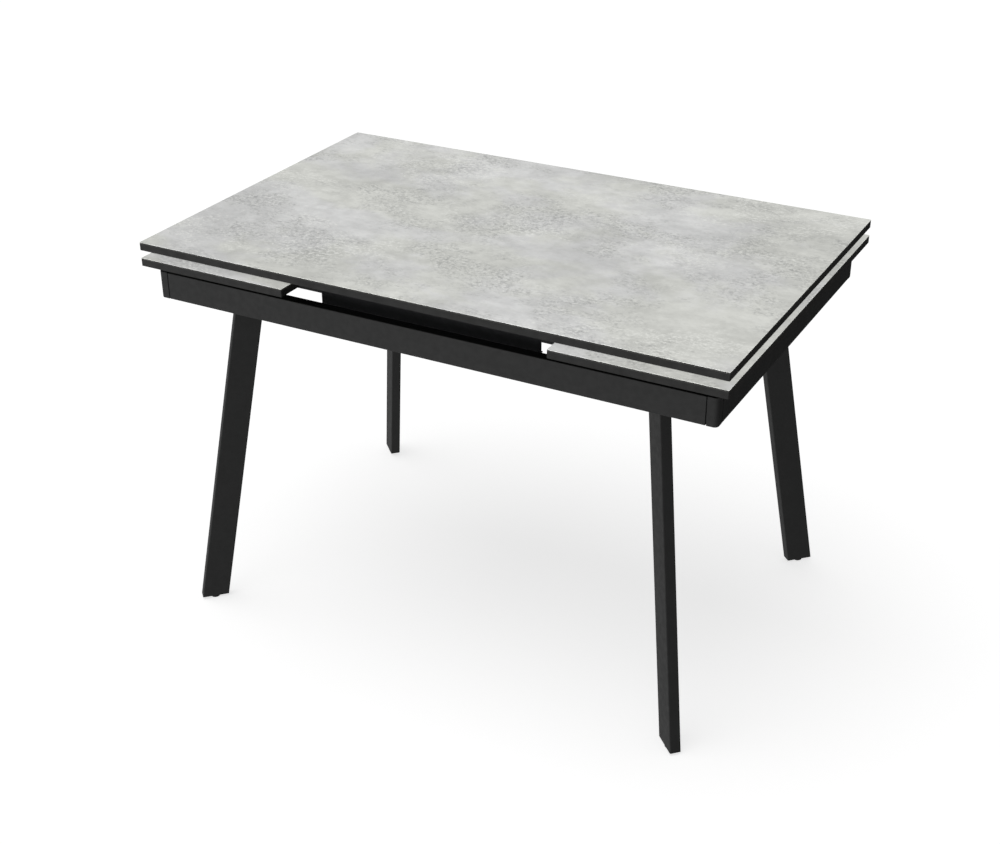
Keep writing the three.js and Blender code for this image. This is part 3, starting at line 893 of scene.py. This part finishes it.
ACROSS = (1, -1, 1)
# The fascias' coat is painted lighter, standing in for the light they catch.
fascia_painted_light_coat = coated("painted_light_coat", FASCIA_PAINTED_LIGHT_COLOUR, FASCIA_SHEEN)
low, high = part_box("fascia_front")
fascia = folded("fascia_sheet_front", (low.x, high.x),
                ((high.y, high.z), (low.y, high.z), (low.y, low.z), (high.y, low.z)),
                FASCIA_WALL, FOLD_RADIUS)
fascia.data.materials.append(fascia_painted_light_coat)
fit(mirrored(fascia, "fascia_sheet_rear", ACROSS), "frame", "steel_black", "fascia_rear")
fit(fascia, "frame", "steel_black", "fascia_front")


# ---------------------------------------------------------------- guide rails
# Rolled C channels of 2.5 mm steel between the end aprons, open towards the middle, that
# the slide bars run in.
RAIL_WALL = 0.0025
RAIL_FOLD = 0.003

low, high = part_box("guide_rail_front")
rail = folded("rail_channel_front", (low.x, high.x),
              ((high.y, high.z), (low.y, high.z), (low.y, low.z), (high.y, low.z)),
              RAIL_WALL, RAIL_FOLD)
rail.data.materials.append(coat)
fit(mirrored(rail, "rail_channel_rear", ACROSS), "frame", "steel_black", "guide_rail_rear")
fit(rail, "frame", "steel_black", "guide_rail_front")


# ---------------------------------------------------------------- slide pads
# Nylon pads clipped in the end aprons' notches, with rounded entries, that the slide bars
# bear on.
SLIDE_PAD_ENTRY = 0.0015
SLIDE_PAD_EDGE = 0.0004

low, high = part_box("slide_pad_front_right")
pad = block("bearing_pad_front_right", low, high)
bevel(pad, lambda e: runs(e, 1) and middle(e).z > high.z - NEAR, SLIDE_PAD_ENTRY, steps=4)
bevel(pad, lambda e: runs(e, 2), SLIDE_PAD_EDGE, steps=2)
pad.data.materials.append(nylon)
for place_name, flip in CORNERS:
    first = place_name == "front_right"
    piece = pad if first else mirrored(pad, "bearing_pad_" + place_name, flip)
    fit(piece, "frame", "nylon_black", "slide_pad_" + place_name)


# ---------------------------------------------------------------- slide bars and crossbars
# Zinc-plated 20 x 17 mm tubes that slide in the rails, and the 20 x 16 mm crossbar that
# joins each pair near the middle of the table.
BAR_WALL = 0.002
BAR_CORNER = 0.0015

for end in ("left", "right"):
    for side in ("front", "rear"):
        low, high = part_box(f"{end}_slide_bar_{side}")
        bar = tube(f"{end}_runner_{side}", low, high, 0, BAR_WALL, BAR_CORNER)
        bar.data.materials.append(zinc)
        fit(bar, end + "_carriage", "steel_zinc", f"{end}_slide_bar_{side}")
    low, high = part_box(end + "_crossbar")
    bar = tube(end + "_tie_bar", low, high, 1, BAR_WALL, BAR_CORNER)
    bar.data.materials.append(zinc)
    fit(bar, end + "_carriage", "steel_zinc", end + "_crossbar")


# ---------------------------------------------------------------- lift arms
# Flat 14 x 4 mm links with round ends, stamped and zinc-plated. Each carries one pin that
# turns in the slide bar and one, with a riveted head, that turns in the leaf's bracket.
ARM_END = 0.97
ARM_EDGE = 0.0004
ARM_OUTER = -0.2255
ARM_INNER = -0.2215
PIN_RADIUS = 0.0040
PIN_SUNK = 0.001
RIVET_RADIUS = 0.0060
RIVET_THICK = 0.0018
RIVET_ROUND = 0.0012

low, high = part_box("right_lift_arm_inner_front")
half = (high.z - low.z) / 2
pivot_z = (low.z + high.z) / 2
arm_model = block("arm_model", (low.x, ARM_OUTER, low.z), (high.x, ARM_INNER, high.z))
bevel(arm_model, lambda e: runs(e, 1), ARM_END * half, steps=8)
bevel(arm_model, lambda e: not runs(e, 1), ARM_EDGE, steps=2)
bar_pin = post("bar_pin", PIN_RADIUS, (low.x + half, low.y, pivot_z),
               (low.x + half, ARM_INNER - PIN_SUNK, pivot_z), 1)
bevel(bar_pin, lambda e: middle(e).y < low.y + VERY_NEAR, ARM_EDGE, steps=2)
combine(arm_model, bar_pin, "UNION")
leaf_pin = post("leaf_pin", PIN_RADIUS, (high.x - half, ARM_OUTER + PIN_SUNK, pivot_z),
                (high.x - half, high.y - RIVET_THICK / 2, pivot_z), 1)
combine(arm_model, leaf_pin, "UNION")
rivet = post("rivet", RIVET_RADIUS, (high.x - half, high.y - RIVET_THICK, pivot_z),
             (high.x - half, high.y, pivot_z), 1)
bevel(rivet, lambda e: middle(e).y > high.y - VERY_NEAR, RIVET_ROUND, steps=3)
combine(arm_model, rivet, "UNION")
arm_model.data.materials.append(zinc)
arm_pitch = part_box("right_lift_arm_outer_front")[0].x - low.x
for end, lengthways in (("left", -1), ("right", 1)):
    for side, across in (("front", 1), ("rear", -1)):
        for place_name, move in (("inner", 0), ("outer", arm_pitch)):
            arm = mirrored(arm_model, f"{end}_link_{place_name}_{side}",
                           (lengthways, across, 1), (move, 0, 0))
            fit(arm, f"{end}_{place_name}_arms", "steel_zinc",
                f"{end}_lift_arm_{place_name}_{side}")
bpy.data.objects.remove(arm_model)


# ---------------------------------------------------------------- leaf brackets
# Folded 3 mm steel angles, coated black and screwed up into each leaf. The upright flange
# hangs between the arms and takes their pins, and its lower corners are clipped.
BRACKET_WALL = 0.003
BRACKET_FOLD = 0.0035
BRACKET_CLIP = 0.006
BRACKET_SCREWS = (0.345, 0.415, 0.485)
BRACKET_SCREW_Y = 0.202

low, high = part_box("right_leaf_bracket_front")
bracket = folded("right_leaf_angle_front", (low.x, high.x),
                 ((high.y, high.z), (low.y, high.z), (low.y, low.z)),
                 BRACKET_WALL, BRACKET_FOLD)
bevel(bracket, lambda e: runs(e, 1) and middle(e).z < low.z + NEAR, BRACKET_CLIP, steps=1)
bracket.data.materials.append(coat)
for end, lengthways in (("right", 1), ("left", -1)):
    for side, across in (("front", 1), ("rear", -1)):
        first = (end, side) == ("right", "front")
        piece = bracket if first else mirrored(bracket, f"{end}_leaf_angle_{side}",
                                               (lengthways, across, 1))
        fit(piece, end + "_leaf", "steel_black", f"{end}_leaf_bracket_{side}")
        for number, x in enumerate(BRACKET_SCREWS):
            spot = (lengthways * x, -across * BRACKET_SCREW_Y, high.z - BRACKET_WALL)
            screw(f"{end}_leaf_screw_{side}_{number}", spot, end + "_leaf")
bpy.data.objects.remove(screw_model)
